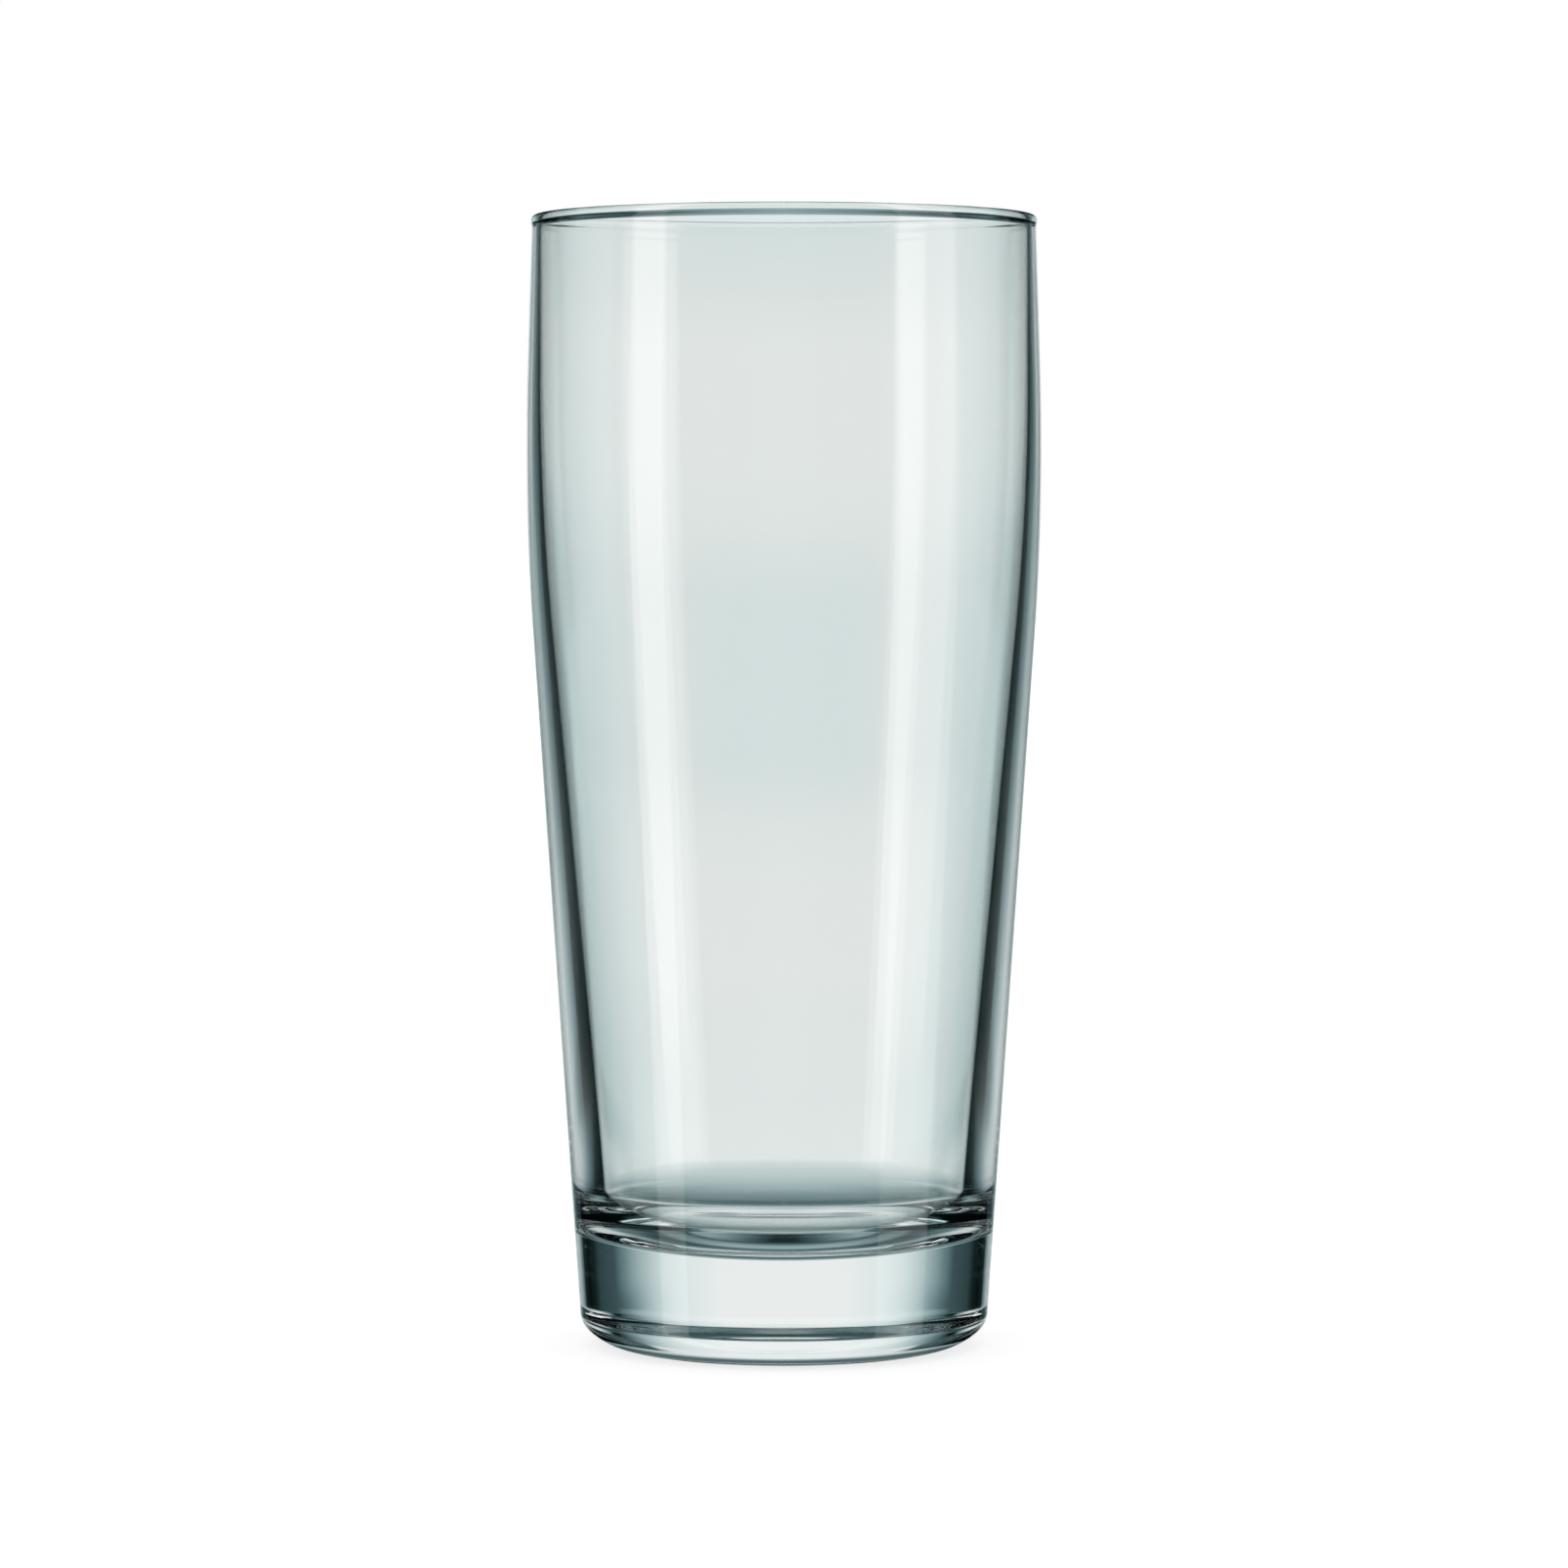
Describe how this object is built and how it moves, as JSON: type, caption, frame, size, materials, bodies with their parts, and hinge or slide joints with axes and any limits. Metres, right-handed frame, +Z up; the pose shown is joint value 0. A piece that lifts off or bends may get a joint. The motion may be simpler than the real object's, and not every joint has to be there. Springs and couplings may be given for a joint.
{
  "type": "beer tumbler",
  "caption": "Tall tapered drinking glass with a thick solid base, a soft belly near the top and a drawn-in, fire-polished lip.",
  "frame": {"origin": "centre of the foot, on the table plane", "axes": "+Z up along the axis of the glass, from the foot to the lip"},
  "size_m": [0.0664, 0.0664, 0.146],
  "materials": {
    "clear_glass": "clear soda-lime glass, fire-polished, with a faint grey-green tint"
  },
  "bodies": {
    "root": {"tumbler": "clear_glass"}
  },
  "joints": []
}
